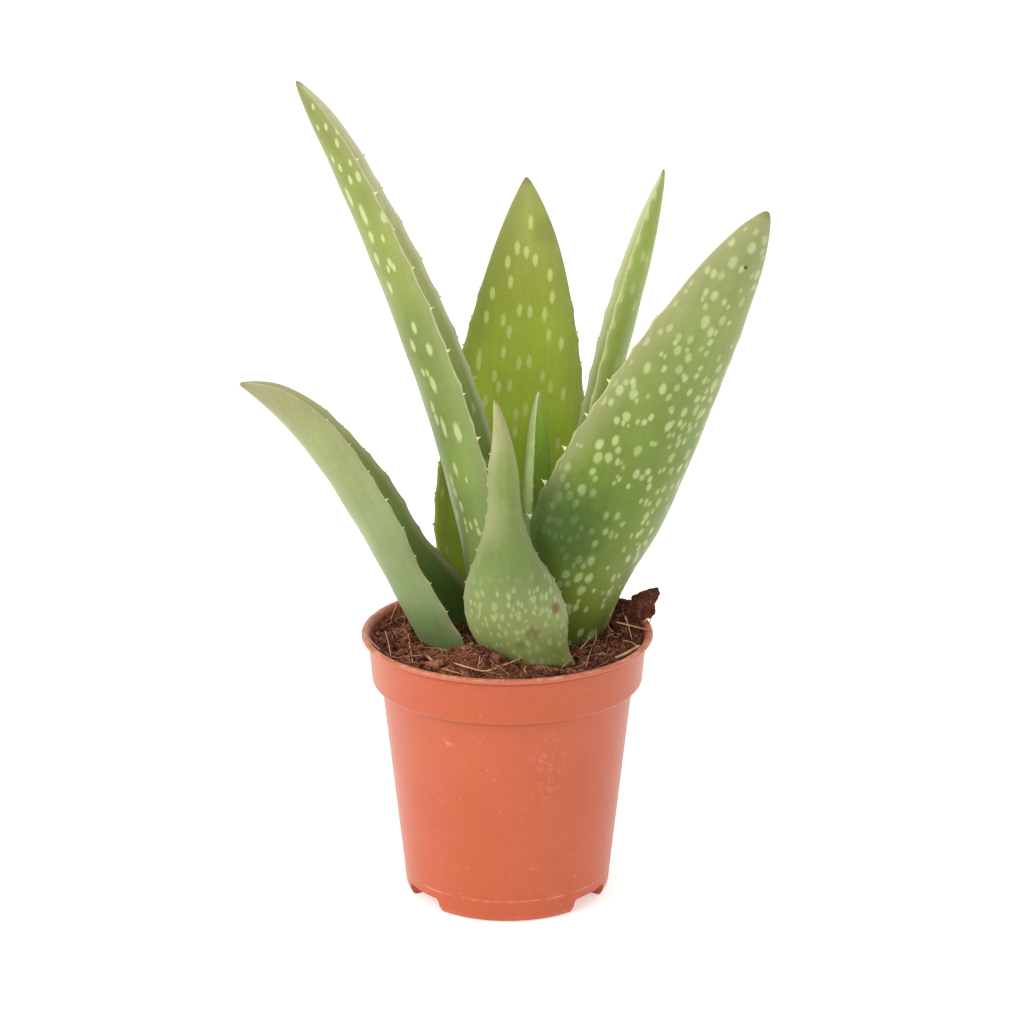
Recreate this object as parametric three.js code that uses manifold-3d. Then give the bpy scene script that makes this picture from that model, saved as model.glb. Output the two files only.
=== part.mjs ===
// A young potted aloe: seven fleshy leaves on a short stem with roots, in a round nursery pot of coir.
// Millimetres, +Z up. The origin is on the pot's axis, in the plane that its feet stand on.
// -Y is the front, the side with a whole foot between two notches.
import * as THREE from 'three';
import { mergeVertices } from 'three/addons/utils/BufferGeometryUtils.js';
import Module from 'manifold-3d';

const wasm = await Module();
wasm.setup();

// ---------- driving dimensions ----------

const gap = 0.3;            // air between pieces that touch
const speck = 0.02;         // detail finer than this is closed up

const pot = {
  height: 98.4,
  rimRadius: 52.5,          // the 105 mm rim gives the pot its trade size
  lipHeight: 1.7,
  bandTopRadius: 50.1,
  bandBottomRadius: 48.7,
  bandBottom: 80,
  stepReach: 3.35,          // from the band in to the wall under it
  wallBottomRadius: 37.65,
  footHeight: 5.5,
  footRadius: 35.9,         // outside of the ring where it meets the ground
  footRing: 8,              // how wide the ring is, measured along a radius
  footTaper: 1.15,          // the ring draws in towards the ground
  corner: 0.5,              // how far its moulded edges are rounded
  ledge: 1.4,               // from the outside of the step up to the inside of it
  cove: { rise: 3, run: 2.2 },   // the sloped corner between wall and floor
  wall: 1.3,
  floor: 1.6,
  segments: 60,
};
const notch = { angles: [-56, 55, 180], halfWidth: 9.9, taper: 0.8, corner: 1.4 };   // from the front
const drain = { radius: 4, ring: 20, count: 3, sides: 20 };

const soil = { level: 95, edgeRise: 1.6, lump: 0.8, segments: 40, rings: 10 };

// The coir is heaped at the right rear and at the left of the front, and hollow where 'height' is negative.
const heaps = [
  { x: 37, y: 18, height: 7.5, spread: 12 },
  { x: -11, y: -27, height: 6, spread: 10 },
  { x: -43, y: 10, height: -2.2, spread: 6 },
  { x: -38, y: -10, height: -2.4, spread: 5 },
  { x: 20, y: -23, height: -3, spread: 11 },
];

const crown = {
  x: 5, y: 7, top: 80, radius: 23, shoulder: 3, neck: 16.5, waist: 7, waistDepth: 26, depth: 38, sides: 24,
};
const root = {
  count: 6, reach: 24, drop: 46, thick: 1.7, thin: 0.8, sides: 6, steps: 6,
  start: 62,                // height at which the highest ones leave the stem
  tier: 3,                  // step down to the next of the three heights
  sunk: 3,                  // how far from the stem's axis each begins
  vary: 0.25,               // share by which their lengths differ
};

const chip = { x: 42, y: 12, foot: 88, thickness: 3.6, bevel: 1, inset: 0.6 };

// Teeth shrink by 'fade' from foot to tip, and those of the second margin stand 'stagger' of a pitch on.
const tooth = {
  length: 2.6, height: 1.9, thickness: 1.1, root: 0.9, lean: 0.55, fade: 0.45, stagger: 0.35,
};

const stationEase = 1.35;   // the rings of a leaf lie closer together towards its tip
const tipBluntness = 40;    // a high power keeps a leaf's width until just before its tip

// Each leaf: its spine is a cubic Bezier curve through the middle of its thickness, from the crown
// to the tip. 'faces' is the direction its back points, in degrees from +X towards +Y, and 'twist' turns it
// about the spine at the foot and at the tip. 'widths' are measured across the leaf as if it were
// unrolled, 'fold' is half the angle it curls through, and both lists of sizes run evenly from
// foot to tip.
const leaves = [
  {
    name: 'leaf_tall_left', color: 0x7f9c55,
    spine: [[-7.5, 9, 76], [-8.9, 9, 160], [-53, 9, 252], [-72.7, 6, 296.8]],
    faces: 176, twist: [-2, 7], fold: [71, 74],
    widths: [30, 41, 50, 50, 45, 36.5, 27, 6], thicknesses: [6, 6.5, 6.5, 6, 5.2, 4.4, 3.4, 2.2],
    teeth: { from: 0.22, to: 0.86, pitch: 16, size: 0.85 }, sides: 10, stations: 20,
  },
  {
    name: 'leaf_back', color: 0x8fa63c,
    spine: [[3, 33, 76], [-4, 41, 137], [9, 46, 199], [6.9, 48, 254]],
    faces: 91.5, twist: [0, 1.5], fold: [46, 26],
    widths: [40, 53, 60.5, 57, 49, 38, 24, 4.4], thicknesses: [5.5, 6.5, 6.5, 6, 5.2, 4.4, 3.4, 2],
    teeth: { from: 0.2, to: 0.8, pitch: 12.5, size: 0.8 }, sides: 10, stations: 19,
  },
  {
    name: 'leaf_thin_right', color: 0x7e9a4b,
    spine: [[18, 14, 76], [24, 19, 149], [51.5, 23, 223], [55.2, 24, 262.2]],
    faces: 3, twist: [2, -3], fold: [70, 68],
    widths: [17, 25, 28, 27.5, 30, 28, 19, 3], thicknesses: [3.8, 4.4, 4.6, 4.4, 4, 3.4, 2.6, 1.6],
    teeth: { from: 0.25, to: 0.8, pitch: 13, size: 0.7 }, sides: 9, stations: 18,
  },
  {
    name: 'leaf_broad_right', color: 0x6f9146,
    spine: [[24, 5.5, 76], [22.7, -5.5, 108.4], [65.5, -20, 212], [89.3, -16, 255.9]],
    faces: -51, twist: [6, -27], fold: [55, 28],
    widths: [34, 38, 44, 64, 58, 47, 35, 22, 6], thicknesses: [6, 7.5, 8, 7.5, 6.8, 6, 5, 4, 2.4],
    teeth: { from: 0.2, to: 0.8, pitch: 13.2, size: 1 }, sides: 11, stations: 20,
  },
  {
    name: 'leaf_low_left', color: 0x84a066,
    spine: [[-17.6, 11, 76], [-38.6, 1.7, 110], [-59.8, -7, 173.3], [-93.1, -14, 194.2]],
    faces: 169, twist: [-4.3, 26.3], fold: [83.9, 74.5],
    widths: [22.5, 50, 49, 41.5, 45.3, 42.2, 39, 28.4, 6], thicknesses: [5, 6.5, 7, 6.5, 6, 5.5, 4.5, 3.5, 2],
    teeth: { from: 0.16, to: 0.84, pitch: 12.5, size: 0.6 }, sides: 10, stations: 19,
  },
  {
    name: 'leaf_front', color: 0x7b9d66,
    spine: [[17.7, -14.5, 76], [-9.5, -36.3, 113.5], [5.1, -30.5, 162.6], [-4.5, -25.5, 191.8]],
    faces: -86, twist: [-14.1, 24], fold: [57.7, 51],
    widths: [29.9, 30.6, 40.3, 36.7, 22.5, 13.3, 11.7, 6.4, 1.4],
    thicknesses: [4.5, 5.5, 6.5, 6, 5.5, 5, 4, 3, 1.4],
    teeth: { from: 0.2, to: 0.86, pitch: 6.5, size: 0.5 }, sides: 10, stations: 19,
  },
  {
    name: 'leaf_inner', color: 0x6a8f4a,
    spine: [[7, 9, 76], [6.8, 8, 128.5], [7.1, 8, 166.7], [11.2, 8, 185.1]],
    faces: 159, twist: [0, -4], fold: [65, 60],
    widths: [15, 17.5, 18, 17.5, 19.5, 16.5, 10, 1.8], thicknesses: [3.5, 3.5, 3.5, 3.4, 3.2, 2.8, 2.2, 1.3],
    teeth: { from: 0.3, to: 0.85, pitch: 7, size: 0.45 }, sides: 8, stations: 14,
  },
];

// ---------- tools ----------

function solid(geometry) {
  const bare = geometry.clone();
  bare.deleteAttribute('normal');
  bare.deleteAttribute('uv');
  const merged = mergeVertices(bare, 1e-4);
  return new wasm.Manifold(new wasm.Mesh({
    numProp: 3,
    vertProperties: new Float32Array(merged.attributes.position.array),
    triVerts: new Uint32Array(merged.index.array),
  }));
}

function geometryOf(body) {
  const { vertProperties, triVerts } = body.getMesh();
  const geometry = new THREE.BufferGeometry();
  geometry.setAttribute('position', new THREE.BufferAttribute(vertProperties, 3));
  geometry.setIndex(new THREE.BufferAttribute(triVerts, 1));
  return withoutSpecks(geometry);
}

// Cuts leave a few edges shorter than a hair's width: their ends become one point.
function withoutSpecks(geometry) {
  const merged = mergeVertices(geometry, speck);
  const corners = merged.index.array;
  const kept = [];
  for (let t = 0; t < corners.length; t += 3) {
    const [a, b, c] = corners.slice(t, t + 3);
    if (a !== b && b !== c && c !== a) kept.push(a, b, c);
  }
  flipSlivers(kept, merged.attributes.position);
  merged.setIndex(kept);
  return merged;
}

// A triangle whose third corner lies on its long edge swaps that edge with its neighbour's, which
// leaves two triangles of a fair width in the same surface.
function flipSlivers(corners, place) {
  const sides = new Map();
  const key = (from, to) => from * place.count + to;
  const note = (t) => {
    for (let k = 0; k < 3; k += 1) sides.set(key(corners[t + k], corners[t + ((k + 1) % 3)]), t);
  };
  for (let t = 0; t < corners.length; t += 3) note(t);
  const at = (v) => new THREE.Vector3().fromBufferAttribute(place, v);
  for (let t = 0; t < corners.length; t += 3) {
    const length = (k) => at(corners[t + k]).distanceTo(at(corners[t + ((k + 1) % 3)]));
    const k = [0, 1, 2].reduce((best, side) => (length(side) > length(best) ? side : best), 0);
    const [a, b, c] = [0, 1, 2].map((step) => corners[t + ((k + step) % 3)]);
    const area = new THREE.Triangle(at(a), at(b), at(c)).getArea();
    if ((2 * area) / length(k) > speck / 4) continue;
    const other = sides.get(key(b, a));
    const d = corners.slice(other, other + 3).find((v) => v !== a && v !== b);
    if (sides.has(key(c, d)) || sides.has(key(d, c))) continue;
    sides.delete(key(a, b));
    sides.delete(key(b, a));
    corners.splice(t, 3, a, d, c);
    corners.splice(other, 3, d, b, c);
    note(t);
    note(other);
  }
}

function join(bodies) {
  return bodies.reduce((whole, body) => whole.add(body));
}

function indexed(positions, index) {
  const geometry = new THREE.BufferGeometry();
  geometry.setAttribute('position', new THREE.Float32BufferAttribute(positions, 3));
  geometry.setIndex(index);
  return geometry;
}

function lathe(profile, segments) {
  const points = profile.map(([radius, z]) => new THREE.Vector2(radius, z));
  return new THREE.LatheGeometry(points, segments).rotateX(Math.PI / 2);
}

// A value read off a list that is spread evenly over 0 to 1, on a smooth curve through its entries.
function along(list, u) {
  const last = list.length - 1;
  const at = Math.min(Math.floor(u * last), last - 1);
  const f = u * last - at;
  const b = list[at];
  const c = list[at + 1];
  const a = at > 0 ? list[at - 1] : 2 * b - c;
  const d = at + 2 <= last ? list[at + 2] : 2 * c - b;
  return b + 0.5 * f * (c - a + f * (2 * a - 5 * b + 4 * c - d + f * (3 * (b - c) + d - a)));
}

function mesh(name, geometry, color, roughness) {
  const material = new THREE.MeshStandardMaterial({ color, roughness, metalness: 0 });
  const piece = new THREE.Mesh(geometry, material);
  piece.name = name;
  return piece;
}

// ---------- pot ----------

const floorTop = pot.footHeight + pot.floor;
const bandInside = pot.bandBottomRadius - pot.wall;
const wallTopRadius = pot.bandBottomRadius - pot.stepReach;
const wallInside = wallTopRadius - pot.wall;
const lipBottom = pot.height - pot.lipHeight;

// The inside of the pot at height z.
function innerRadius(z) {
  const share = (z - floorTop) / (pot.bandBottom - floorTop);
  return THREE.MathUtils.lerp(pot.wallBottomRadius - pot.wall, wallInside, share);
}

// The inside of the band at height z, on the line from the ledge up to the lip.
function bandRadius(z) {
  const share = (z - pot.bandBottom - pot.ledge) / (lipBottom - pot.wall - pot.bandBottom - pot.ledge);
  return THREE.MathUtils.lerp(bandInside, pot.bandTopRadius - pot.wall, share);
}

function makePot() {
  const { corner, cove, footTaper } = pot;
  const footInside = pot.footRadius - pot.footRing;
  const profile = [
    [0, floorTop],
    [0, pot.footHeight],
    [footInside, pot.footHeight],
    [footInside, 0],
    [pot.footRadius - footTaper, 0],
    [pot.footRadius, corner],
    [pot.footRadius + footTaper, pot.footHeight / 2],
    [pot.wallBottomRadius - corner / 2, pot.footHeight],
    [pot.wallBottomRadius, floorTop + pot.floor],
    [wallTopRadius, pot.bandBottom - corner],
    [pot.bandBottomRadius - 1.6 * corner, pot.bandBottom],
    [pot.bandBottomRadius, pot.bandBottom + 2 * corner],
    [pot.bandTopRadius, lipBottom],
    [pot.rimRadius - corner, lipBottom],
    [pot.rimRadius, lipBottom + corner],
    [pot.rimRadius, pot.height - corner],
    [pot.rimRadius - corner, pot.height],
    [pot.bandTopRadius + corner, pot.height],
    [pot.bandTopRadius - corner, pot.height - 2 * corner],
    [pot.bandTopRadius - pot.wall, lipBottom - pot.wall],
    [bandInside, pot.bandBottom + pot.ledge],
    [wallInside, pot.bandBottom - corner],
    [innerRadius(floorTop + cove.rise), floorTop + cove.rise],
    [innerRadius(floorTop) - cove.run, floorTop],
    [0, floorTop],
  ];
  let body = solid(lathe(profile, pot.segments));
  for (const angle of notch.angles) body = body.subtract(solid(notchCutter(angle)));
  for (let i = 0; i < drain.count; i += 1) {
    const hole = new THREE.CylinderGeometry(drain.radius, drain.radius, 3 * pot.floor, drain.sides);
    const turn = (2 * Math.PI * i) / drain.count;
    hole.rotateX(Math.PI / 2);
    hole.translate(drain.ring * Math.sin(turn), -drain.ring * Math.cos(turn), floorTop - pot.floor / 2);
    body = body.subtract(solid(hole));
  }
  return geometryOf(body);
}

// The gap between two feet: an arch with round upper corners, run out along a radius.
function notchCutter(angle) {
  const { halfWidth, taper, corner } = notch;
  const top = pot.footHeight;
  const shape = new THREE.Shape();
  shape.moveTo(-halfWidth - taper, -1);
  shape.lineTo(halfWidth + taper, -1);
  shape.lineTo(halfWidth, top - corner);
  shape.quadraticCurveTo(halfWidth, top, halfWidth - corner, top);
  shape.lineTo(corner - halfWidth, top);
  shape.quadraticCurveTo(-halfWidth, top, -halfWidth, top - corner);
  const cutter = new THREE.ExtrudeGeometry(shape, {
    depth: 3 * pot.footRing, bevelEnabled: false, curveSegments: 3,
  });
  cutter.rotateX(Math.PI / 2);
  cutter.translate(0, pot.footRing + 1 - pot.footRadius, 0);
  cutter.rotateZ(THREE.MathUtils.degToRad(angle));
  return cutter;
}

// ---------- leaves ----------

// The spine's point and directions at u: along the leaf, across it, and from its back to its face.
function frameOf(leaf, u) {
  const points = leaf.spine.map((p) => new THREE.Vector3(...p));
  const curve = new THREE.CubicBezierCurve3(...points);
  const centre = curve.getPoint(u);
  const ahead = curve.getTangent(u);
  const faces = THREE.MathUtils.degToRad(leaf.faces);
  const across = new THREE.Vector3(-Math.sin(faces), Math.cos(faces), 0);
  across.addScaledVector(ahead, -across.dot(ahead)).normalize();
  const twist = THREE.MathUtils.degToRad(THREE.MathUtils.lerp(leaf.twist[0], leaf.twist[1], u));
  across.applyAxisAngle(ahead, twist);
  const inward = new THREE.Vector3().crossVectors(ahead, across);
  return { centre, ahead, across, inward };
}

// The leaf's cross-section at u: a folded arc, thickest in the middle, thin at both margins.
function sectionOf(leaf, u, grow) {
  const { centre, ahead, across, inward } = frameOf(leaf, u);
  const roundOff = Math.sqrt(1 - u ** tipBluntness);
  const width = along(leaf.widths, u) * roundOff + 2 * grow;
  const thickness = along(leaf.thicknesses, u) * roundOff + 2 * grow;
  const fold = THREE.MathUtils.degToRad(THREE.MathUtils.lerp(leaf.fold[0], leaf.fold[1], u));
  const radius = width / (2 * fold);
  const point = (s, side) => {
    const angle = s * fold;
    const half = side * 0.5 * thickness * Math.sqrt(Math.max(0, 1 - s * s));
    return centre.clone()
      .addScaledVector(across, (radius - half) * Math.sin(angle))
      .addScaledVector(inward, radius - (radius - half) * Math.cos(angle));
  };
  const out = (s) => {
    const direction = across.clone().multiplyScalar(Math.cos(fold) * s);
    return direction.addScaledVector(inward, Math.sin(fold));
  };
  return { centre, ahead, point, out };
}

function leafBody(leaf, grow = 0) {
  const steps = leaf.sides;
  const ringSize = 2 * steps;
  const positions = [];
  const index = [];
  for (let i = 0; i < leaf.stations; i += 1) {
    const u = 1 - (1 - i / leaf.stations) ** stationEase;
    const { point } = sectionOf(leaf, u, grow);
    for (let j = 0; j < ringSize; j += 1) {
      const back = j <= steps;
      const k = back ? j : ringSize - j;
      const s = Math.sin(Math.PI * (k / steps - 0.5));
      positions.push(...point(s, back ? -1 : 1).toArray());
    }
  }
  const { centre: tip, ahead } = frameOf(leaf, 1);
  positions.push(...tip.addScaledVector(ahead, grow).toArray());
  const lastRing = (leaf.stations - 1) * ringSize;
  const tipIndex = leaf.stations * ringSize;
  for (let j = 0; j < ringSize; j += 1) {
    const next = (j + 1) % ringSize;
    for (let ring = 0; ring < lastRing; ring += ringSize) {
      index.push(ring + j, ring + next, ring + next + ringSize);
      index.push(ring + j, ring + next + ringSize, ring + j + ringSize);
    }
    index.push(lastRing + j, lastRing + next, tipIndex);
  }
  for (let j = 0; j < steps; j += 1) {
    const face = ringSize - j - 1;
    if (j > 0) index.push(j, face + 1, face);
    if (j < steps - 1) index.push(j, face, j + 1);
  }
  return solid(indexed(positions, index)).subtract(underCrown(grow));
}

// Everything below the crown's top: the leaves are cut flat there and stand on it.
function underCrown(grow) {
  const block = new THREE.BoxGeometry(4 * pot.rimRadius, 4 * pot.rimRadius, crown.depth);
  block.translate(0, 0, crown.top + gap - grow - crown.depth / 2);
  return solid(block);
}

// A small hooked pyramid on the margin, its root sunk in the leaf.
function toothBody(leaf, u, margin) {
  const { ahead, point, out } = sectionOf(leaf, u, 0);
  const outward = out(margin);
  const size = leaf.teeth.size * (1 - tooth.fade * u);
  const base = point(margin, 0).addScaledVector(outward, -tooth.root);
  const tip = base.clone()
    .addScaledVector(outward, tooth.root + tooth.height * size)
    .addScaledVector(ahead, tooth.lean * tooth.height * size);
  const flat = new THREE.Vector3().crossVectors(ahead, outward).normalize();
  const half = (tooth.length * size + tooth.root) / 2;
  const thick = (tooth.thickness * size + gap) / 2;
  const corners = [
    base.clone().addScaledVector(ahead, -half),
    base.clone().addScaledVector(flat, -thick),
    base.clone().addScaledVector(ahead, half),
    base.clone().addScaledVector(flat, thick),
  ];
  const positions = [...corners, tip].flatMap((p) => p.toArray());
  return solid(indexed(positions, [0, 4, 1, 1, 4, 2, 2, 4, 3, 3, 4, 0, 0, 1, 2, 0, 2, 3]));
}

function makeLeaf(leaf) {
  const { from, to, pitch } = leaf.teeth;
  const length = new THREE.CubicBezierCurve3(...leaf.spine.map((p) => new THREE.Vector3(...p))).getLength();
  const count = Math.round(((to - from) * length) / pitch);
  const teeth = [];
  for (let i = 0; i <= count; i += 1) {
    for (const margin of [-1, 1]) {
      const shift = margin > 0 ? tooth.stagger : 0;
      const u = from + ((to - from) * (i + shift)) / (count + 1);
      teeth.push(toothBody(leaf, u, margin));
    }
  }
  return geometryOf(join([leafBody(leaf), ...teeth]));
}

// ---------- stem and roots ----------

// The short stem: a broad flat top that carries the leaves, and a waist that the roots grow from.
function crownBody(grow) {
  const { top, radius, shoulder, neck, waist, waistDepth, depth, x, y, sides } = crown;
  const profile = [
    [0, top - depth - grow],
    [waist * 0.8 + grow, top - depth + 2],
    [waist + grow, top - waistDepth],
    [waist + 2 + grow, top - waistDepth * 0.7],
    [neck + grow, top - 3 * shoulder],
    [radius + 1 + grow, top - shoulder],
    [radius + grow, top + grow],
    [0, top + grow],
  ];
  return solid(lathe(profile, sides).translate(x, y, 0));
}

// A root is a round rod of radius 1 along its curve, whose rings are then scaled to its taper.
function rootBody(i, grow) {
  const turn = (2 * Math.PI * (i + root.vary)) / root.count;
  const reach = root.reach * (1 - root.vary + root.vary * Math.sin(5 * i + 1));
  const drop = root.drop * (1 - root.vary + root.vary * Math.cos(3 * i));
  const out = new THREE.Vector3(Math.cos(turn), Math.sin(turn), 0);
  const start = new THREE.Vector3(crown.x, crown.y, root.start - root.tier * (i % 3));
  start.addScaledVector(out, root.sunk);
  const bend = start.clone().addScaledVector(out, reach * 0.7);
  bend.z -= drop * 0.25;
  const end = start.clone().addScaledVector(out, reach);
  end.z -= drop;
  const curve = new THREE.QuadraticBezierCurve3(start, bend, end);
  const circle = new THREE.Shape();
  circle.absarc(0, 0, 1, 0, 2 * Math.PI);
  const geometry = new THREE.ExtrudeGeometry(circle, {
    steps: root.steps, extrudePath: curve, bevelEnabled: false, curveSegments: root.sides / 2,
  });
  const centres = curve.getSpacedPoints(root.steps);
  const place = geometry.attributes.position;
  const vertex = new THREE.Vector3();
  for (let v = 0; v < place.count; v += 1) {
    vertex.fromBufferAttribute(place, v);
    const distances = centres.map((centre) => centre.distanceTo(vertex));
    const ring = distances.indexOf(Math.min(...distances));
    const radius = THREE.MathUtils.lerp(root.thick, root.thin, ring / root.steps) + grow;
    vertex.sub(centres[ring]).multiplyScalar(radius).add(centres[ring]);
    place.setXYZ(v, vertex.x, vertex.y, vertex.z);
  }
  return solid(geometry);
}

function stemBody(grow = 0) {
  const parts = [crownBody(grow)];
  for (let i = 0; i < root.count; i += 1) parts.push(rootBody(i, grow));
  return join(parts);
}

// ---------- husk chip ----------

// A torn flake of husk standing at the right of the pot, leaning out over the rim.
function chipBody(grow = 0) {
  const { thickness, bevel, inset } = chip;
  const outline = [
    [-0.5, 0], [0.4, 9], [1.4, 15], [3.4, 18.8], [5.9, 20.2], [8.2, 21.1], [10.3, 21.4], [12.6, 22],
    [13.2, 20.1], [12, 17.7], [11.2, 15.8], [11.6, 14.3], [11, 12.1], [10.2, 10.9], [5, 10.8],
    [3.6, 6], [3, 0],
  ];
  const shape = new THREE.Shape(outline.map(([x, y]) => new THREE.Vector2(x, y)));
  const geometry = new THREE.ExtrudeGeometry(shape, {
    depth: thickness - 2 * bevel, bevelEnabled: true, bevelThickness: bevel + grow,
    bevelSize: inset + grow, bevelOffset: -inset, bevelSegments: 1,
  });
  geometry.translate(0, 0, bevel - thickness / 2);
  geometry.rotateX(Math.PI / 2);
  geometry.translate(chip.x, chip.y, chip.foot);
  return solid(geometry);
}

// ---------- soil ----------

function soilHeight(x, y) {
  const r = Math.hypot(x, y) / bandInside;
  const lumps = Math.sin(0.61 * x + 1.3) * Math.sin(0.53 * y + 0.4)
    + 0.6 * Math.sin(1.07 * x - 0.8 * y) + 0.5 * Math.sin(0.9 * x + 1.31 * y + 2);
  const heaped = heaps.reduce((sum, heap) => {
    const away = Math.hypot(x - heap.x, y - heap.y) / heap.spread;
    return sum + heap.height * Math.exp(-away * away);
  }, 0);
  return soil.level + soil.edgeRise * r ** 4 + soil.lump * lumps * (1 - 0.5 * r) + heaped;
}

function makeSoil() {
  const { cove, bandBottom, ledge } = pot;
  const bottom = floorTop + gap;
  const rim = bandInside - gap;
  const clear = 1.5 * gap;      // the pot's facets lie a little inside its circle
  const profile = [
    [0, bottom],
    [innerRadius(bottom) - cove.run - gap, bottom],
    [innerRadius(bottom + cove.rise) - gap, bottom + cove.rise],
    [wallInside - gap, bandBottom - gap],
    [rim, bandBottom + ledge + 2 * gap],
  ];
  for (let i = soil.rings; i >= 0; i -= 1) profile.push([(rim * i) / soil.rings, soil.level]);
  const geometry = lathe(profile, soil.segments);
  const place = geometry.attributes.position;
  for (let v = 0; v < place.count; v += 1) {
    if (place.getZ(v) > soil.level - speck) {
      const height = soilHeight(place.getX(v), place.getY(v));
      const spread = (bandRadius(Math.min(height, lipBottom)) - clear) / rim;
      place.setXYZ(v, place.getX(v) * spread, place.getY(v) * spread, height);
    }
  }
  const holes = [stemBody(gap), chipBody(gap), ...leaves.map((leaf) => leafBody(leaf, gap))];
  return geometryOf(holes.reduce((body, hole) => body.subtract(hole), solid(geometry)));
}

// ---------- the plant in its pot ----------

const plant = new THREE.Group();
plant.add(mesh('pot', makePot(), 0xd0704f, 0.5));
plant.add(mesh('soil', makeSoil(), 0x5b3a29, 0.95));
plant.add(mesh('stem_and_roots', geometryOf(stemBody()), 0xc9bfa0, 0.8));
plant.add(mesh('husk_chip', geometryOf(chipBody()), 0x6b3f2a, 0.9));
for (const leaf of leaves) plant.add(mesh(leaf.name, makeLeaf(leaf), leaf.color, 0.45));

export default plant;
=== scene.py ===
# A young spotted aloe in a terracotta-coloured nursery pot: the looks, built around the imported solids.
import random
from math import copysign, cos, exp, hypot, pi, radians, sin, sqrt

import bmesh
import bpy
from mathutils import Matrix, Vector, noise
from mathutils.bvhtree import BVHTree


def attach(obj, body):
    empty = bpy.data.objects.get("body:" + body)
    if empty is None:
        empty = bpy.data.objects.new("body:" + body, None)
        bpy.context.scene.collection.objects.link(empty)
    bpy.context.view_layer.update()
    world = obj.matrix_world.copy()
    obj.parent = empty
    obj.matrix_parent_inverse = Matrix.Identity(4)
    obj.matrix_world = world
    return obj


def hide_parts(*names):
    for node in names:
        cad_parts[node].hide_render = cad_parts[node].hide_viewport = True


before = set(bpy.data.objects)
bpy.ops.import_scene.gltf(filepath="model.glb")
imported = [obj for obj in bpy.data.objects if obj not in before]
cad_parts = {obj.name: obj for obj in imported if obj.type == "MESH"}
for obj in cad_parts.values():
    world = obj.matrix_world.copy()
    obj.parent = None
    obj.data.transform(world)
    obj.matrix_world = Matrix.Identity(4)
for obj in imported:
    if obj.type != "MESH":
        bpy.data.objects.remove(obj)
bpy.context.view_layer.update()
mm = 0.001
fullTurn = 2 * pi


# Small helpers for numbers and colours

def lerp(a, b, t):
    return a + (b - a) * t


def clamp(value, low=0, high=1):
    return max(low, min(high, value))


def along(values, t):  # a smooth run through evenly spread values
    last = len(values) - 1
    at = min(int(clamp(t) * last), last - 1)
    f = clamp(t) * last - at
    b, c = values[at], values[at + 1]
    a = values[at - 1] if at > 0 else 2 * b - c
    d = values[at + 2] if at + 2 <= last else 2 * c - b
    return b + 0.5 * f * (c - a + f * (2 * a - 5 * b + 4 * c - d + f * (3 * (b - c) + d - a)))


def paint(code):  # a colour given as on a screen, two hexadecimal digits each for red, green and blue
    parts = [int(code[k:k + 2], 16) / 255 for k in (0, 2, 4)]
    return (*(c / 12.92 if c < 0.0404 else ((c + 0.055) / 1.055) ** 2.4 for c in parts), 1)


# Shader helpers: each adds nodes to the tree in hand and gives back the socket to go on with

tree = None  # the node tree of the newest material or group


def node(kind, inputs=None, **settings):
    made = tree.nodes.new(kind)
    for name, value in settings.items():
        setattr(made, name, value)
    for key, value in (inputs or {}).items():
        if isinstance(value, bpy.types.NodeSocket):
            tree.links.new(value, made.inputs[key])
        else:
            made.inputs[key].default_value = value
    return made


def mixColor(factor, a, b):
    return node("ShaderNodeMix", {0: factor, 6: a, 7: b}, data_type="RGBA").outputs[2]


def calc(operation, a, b=0, c=0):
    return node("ShaderNodeMath", {0: a, 1: b, 2: c}, operation=operation).outputs[0]


def times(a, b):
    return calc("MULTIPLY", a, b)


def vectors(operation, *inputs):
    made = node("ShaderNodeVectorMath", dict(enumerate(inputs)), operation=operation)
    return made.outputs[1 if operation in ("LENGTH", "DISTANCE") else 0]


def remap(value, low, high, toLow=0, toHigh=1):
    return node("ShaderNodeMapRange", {0: value, 1: low, 2: high, 3: toLow, 4: toHigh},
                interpolation_type="SMOOTHSTEP").outputs[0]


def ramp(value, stops):
    made = node("ShaderNodeValToRGB", {0: value})
    made.color_ramp.interpolation = "B_SPLINE"
    elements = made.color_ramp.elements
    while len(elements) < len(stops):
        elements.new(0.5)
    for element, (place, color) in zip(elements, stops):
        element.position = place
        element.color = paint(color)
    return made.outputs[0]


def grain(vector, scale, detail=2, roughness=0.5, flat=False):
    return node("ShaderNodeTexNoise", {
        "Vector": vector, "Scale": scale, "Detail": detail, "Roughness": roughness},
        noise_dimensions="2D" if flat else "3D").outputs[0]


def brighten(color, value):
    return node("ShaderNodeHueSaturation", {"Value": value, "Color": color}).outputs[0]


def mottled(color, place, scale, amount):
    return node("ShaderNodeGroup", {"Color": color, "Vector": place, "Scale": scale, "Amount": amount},
                node_tree=mottleGroup).outputs[0]


def specks(place, scale, share, core, reach, strength):  # dots in this share of a pattern's cells
    cells = node("ShaderNodeTexVoronoi", {"Vector": place, "Scale": scale}).outputs
    draw = node("ShaderNodeSeparateColor", {0: cells["Color"]}).outputs[0]
    return times(calc("LESS_THAN", draw, share), remap(cells["Distance"], core, reach, strength, 0))


def objectPlace():
    return node("ShaderNodeTexCoord").outputs["Object"]


def axisOf(vector, index):
    return node("ShaderNodeSeparateXYZ", {0: vector}).outputs[index]


def attribute(name):
    return node("ShaderNodeAttribute", attribute_name=name).outputs["Fac"]


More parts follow.
